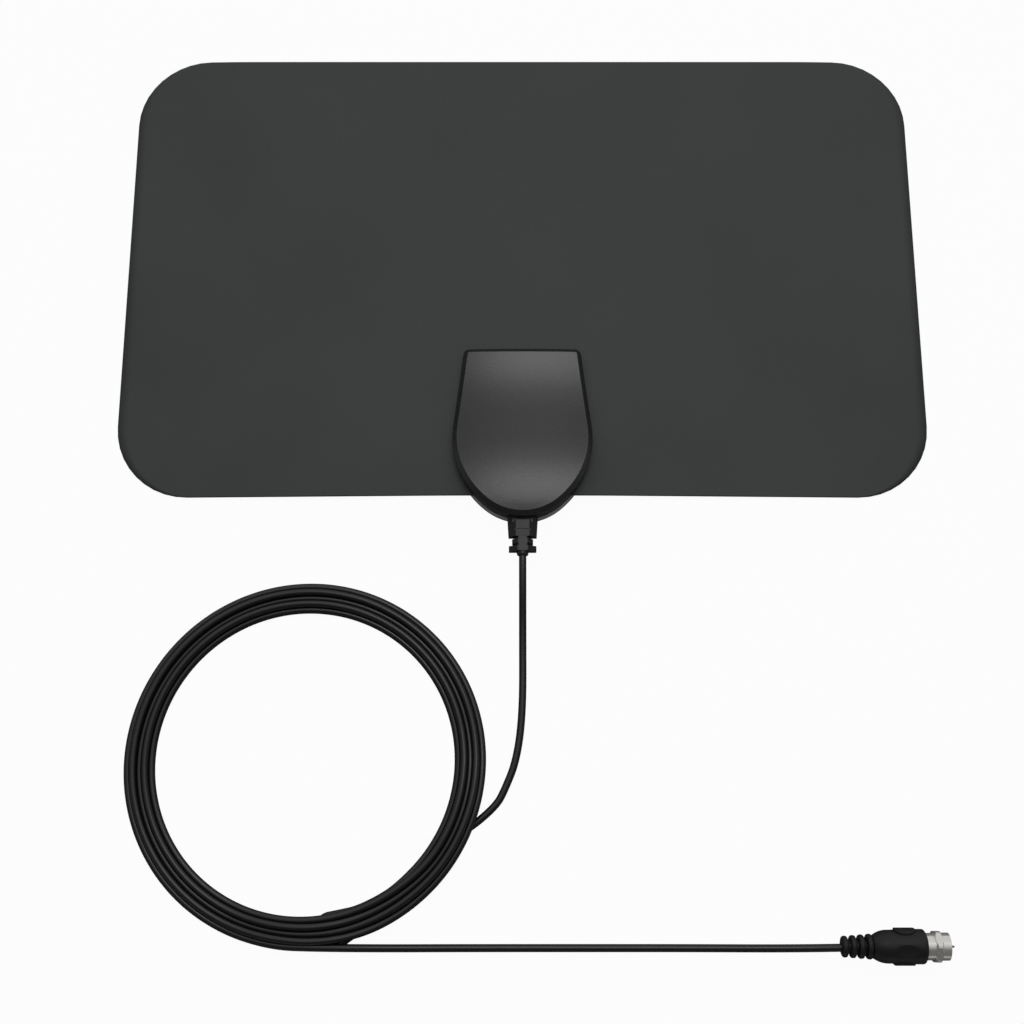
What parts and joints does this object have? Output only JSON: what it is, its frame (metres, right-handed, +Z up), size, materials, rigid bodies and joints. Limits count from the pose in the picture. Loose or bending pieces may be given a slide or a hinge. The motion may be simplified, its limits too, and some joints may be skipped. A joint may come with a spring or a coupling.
{
  "type": "indoor tv antenna",
  "caption": "Flat indoor TV antenna: dark laminated sheet clamped in a two-part moulded housing, with a thin coiled coaxial lead that ends in a screw-on plug.",
  "frame": {"origin": "middle of the sheet's lower edge, on the table that the rear cover lies on", "axes": "+X to the right along the sheet, +Y towards the sheet's upper edge, +Z up, out of its front"},
  "size_m": [0.33, 0.3755, 0.0138],
  "materials": {
    "sheet_film": "fine matt laminated film, dark grey",
    "antenna_foil": "thin rolled foil",
    "housing_plastic": "satin moulded plastic, dark grey",
    "rear_plastic": "satin moulded plastic, mid grey",
    "cord_jacket": "satin extruded vinyl, black",
    "boot_vinyl": "soft overmoulded vinyl, black",
    "nickel": "bright nickel plate",
    "contact_brass": "tinned brass",
    "screw_steel": "plated steel",
    "board_laminate": "green solder mask on glass laminate",
    "ferrite": "sintered ferrite, dark grey",
    "copper_wire": "enamelled copper wire",
    "capacitor_ceramic": "fired ceramic",
    "insulator_white": "white polyethylene"
  },
  "bodies": {
    "antenna": {"front_film": "sheet_film", "back_film": "sheet_film", "left_element": "antenna_foil", "right_element": "antenna_foil", "front_cover": "housing_plastic", "rear_cover": "rear_plastic", "cover_screws": "screw_steel", "contact_posts": "contact_brass", "circuit_board": "board_laminate", "balun_core": "ferrite", "balun_winding": "copper_wire", "chip_capacitors": "capacitor_ceramic", "strain_relief": "boot_vinyl", "inner_lead": "cord_jacket", "lead_core": "insulator_white", "cord_lead": "cord_jacket", "cord_coil": "cord_jacket", "cord_tail": "cord_jacket", "plug_boot": "boot_vinyl", "plug_body": "nickel", "plug_insulator": "insulator_white", "centre_pin": "copper_wire"},
    "nut": {"coupling_nut": "nickel"}
  },
  "joints": [
    {"name": "nut_spin", "type": "hinge", "parent": "antenna", "child": "nut", "pos_m": [0.152, -0.17275, 0.00625], "axis": [1, 0, 0], "continuous": true}
  ]
}
